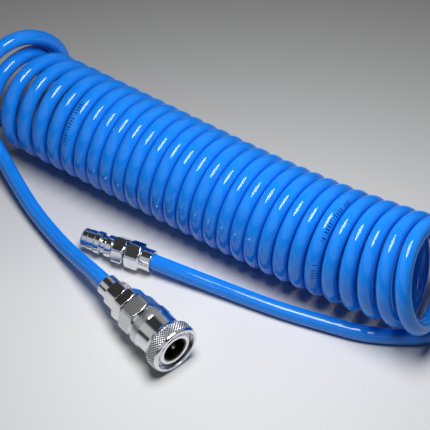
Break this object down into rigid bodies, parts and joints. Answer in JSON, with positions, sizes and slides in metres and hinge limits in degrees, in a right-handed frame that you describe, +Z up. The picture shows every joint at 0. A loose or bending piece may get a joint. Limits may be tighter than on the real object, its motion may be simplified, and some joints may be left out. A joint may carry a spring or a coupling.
{
  "type": "coiled air hose",
  "caption": "Blue spiral hose with straight tails, a quick-connect plug on one end and a quick-connect socket with a knurled locking sleeve on the other.",
  "frame": {"origin": "centre of the whole object's footprint, on the floor that it lies on", "axes": "+X along the coil from its socket end to its plug end, +Z up, and the two fittings lie on the -Y side of the coil"},
  "size_m": [0.2882, 0.1308, 0.071],
  "materials": {
    "hose_blue": "glossy solid-colour polyurethane",
    "chrome": "bright plated steel, knurled band on the sleeve",
    "spring_steel": "polished spring wire, snap ring and hardened balls",
    "brass": "turned brass",
    "rubber": "matt black nitrile"
  },
  "bodies": {
    "coil": {"hose_coil": "hose_blue"},
    "coil_end": {"hose_plug_root": "hose_blue"},
    "plug": {"hose_plug_tail": "hose_blue", "plug_nut": "chrome", "plug_body": "chrome"},
    "socket": {"hose_socket_tail": "hose_blue", "socket_nut": "chrome", "socket_adapter": "chrome", "adapter_gasket": "rubber", "socket_body": "chrome", "sleeve_spring": "spring_steel", "snap_ring": "spring_steel", "nose_seal": "rubber", "valve_spring": "spring_steel"},
    "sleeve": {"lock_sleeve": "chrome"},
    "valve": {"valve_poppet": "brass", "valve_seal": "rubber"},
    "ball_1": {"lock_ball_1": "spring_steel"},
    "ball_2": {"lock_ball_2": "spring_steel"},
    "ball_3": {"lock_ball_3": "spring_steel"},
    "ball_4": {"lock_ball_4": "spring_steel"},
    "ball_5": {"lock_ball_5": "spring_steel"},
    "ball_6": {"lock_ball_6": "spring_steel"}
  },
  "joints": [
    {"name": "coil_stretch", "type": "slide", "parent": "coil", "child": "coil_end", "axis": [1, 0, 0], "range_m": [0, 0.4], "deforming": ["hose_coil"]},
    {"name": "plug_lift", "type": "hinge", "parent": "coil_end", "child": "plug", "pos_m": [0.0642, 0.00312, 0.0041], "axis": [-0.165, 0.9863, 0], "range_deg": [0, 40], "deforming": ["hose_plug_tail"]},
    {"name": "socket_swing", "type": "hinge", "parent": "coil", "child": "socket", "pos_m": [-0.10291, -0.00233, 0.00932], "axis": [0, 0, 1], "range_deg": [-45, 0], "deforming": ["hose_socket_tail"]},
    {"name": "sleeve_slide", "type": "slide", "parent": "socket", "child": "sleeve", "axis": [-0.9636, 0.2672, 0], "range_m": [0, 0.0022], "deforming": ["sleeve_spring"]},
    {"name": "valve_open", "type": "slide", "parent": "socket", "child": "valve", "axis": [-0.9636, 0.2672, 0], "range_m": [0, 0.004], "deforming": ["valve_spring"]},
    {"name": "ball_1_release", "type": "slide", "parent": "socket", "child": "ball_1", "axis": [0.2672, 0.9636, 0], "range_m": [0, 0.0011]},
    {"name": "ball_2_release", "type": "slide", "parent": "socket", "child": "ball_2", "axis": [0.1336, 0.4818, 0.866], "range_m": [0, 0.0011]},
    {"name": "ball_3_release", "type": "slide", "parent": "socket", "child": "ball_3", "axis": [-0.1336, -0.4818, 0.866], "range_m": [0, 0.0011]},
    {"name": "ball_4_release", "type": "slide", "parent": "socket", "child": "ball_4", "axis": [-0.2672, -0.9636, 0], "range_m": [0, 0.0011]},
    {"name": "ball_5_release", "type": "slide", "parent": "socket", "child": "ball_5", "axis": [-0.1336, -0.4818, -0.866], "range_m": [0, 0.0011]},
    {"name": "ball_6_release", "type": "slide", "parent": "socket", "child": "ball_6", "axis": [0.1336, 0.4818, -0.866], "range_m": [0, 0.0011]}
  ],
  "couplings": [
    {"joint": "ball_1_release", "follows": "sleeve_slide", "ratio": 0.5},
    {"joint": "ball_2_release", "follows": "sleeve_slide", "ratio": 0.5},
    {"joint": "ball_3_release", "follows": "sleeve_slide", "ratio": 0.5},
    {"joint": "ball_4_release", "follows": "sleeve_slide", "ratio": 0.5},
    {"joint": "ball_5_release", "follows": "sleeve_slide", "ratio": 0.5},
    {"joint": "ball_6_release", "follows": "sleeve_slide", "ratio": 0.5}
  ]
}
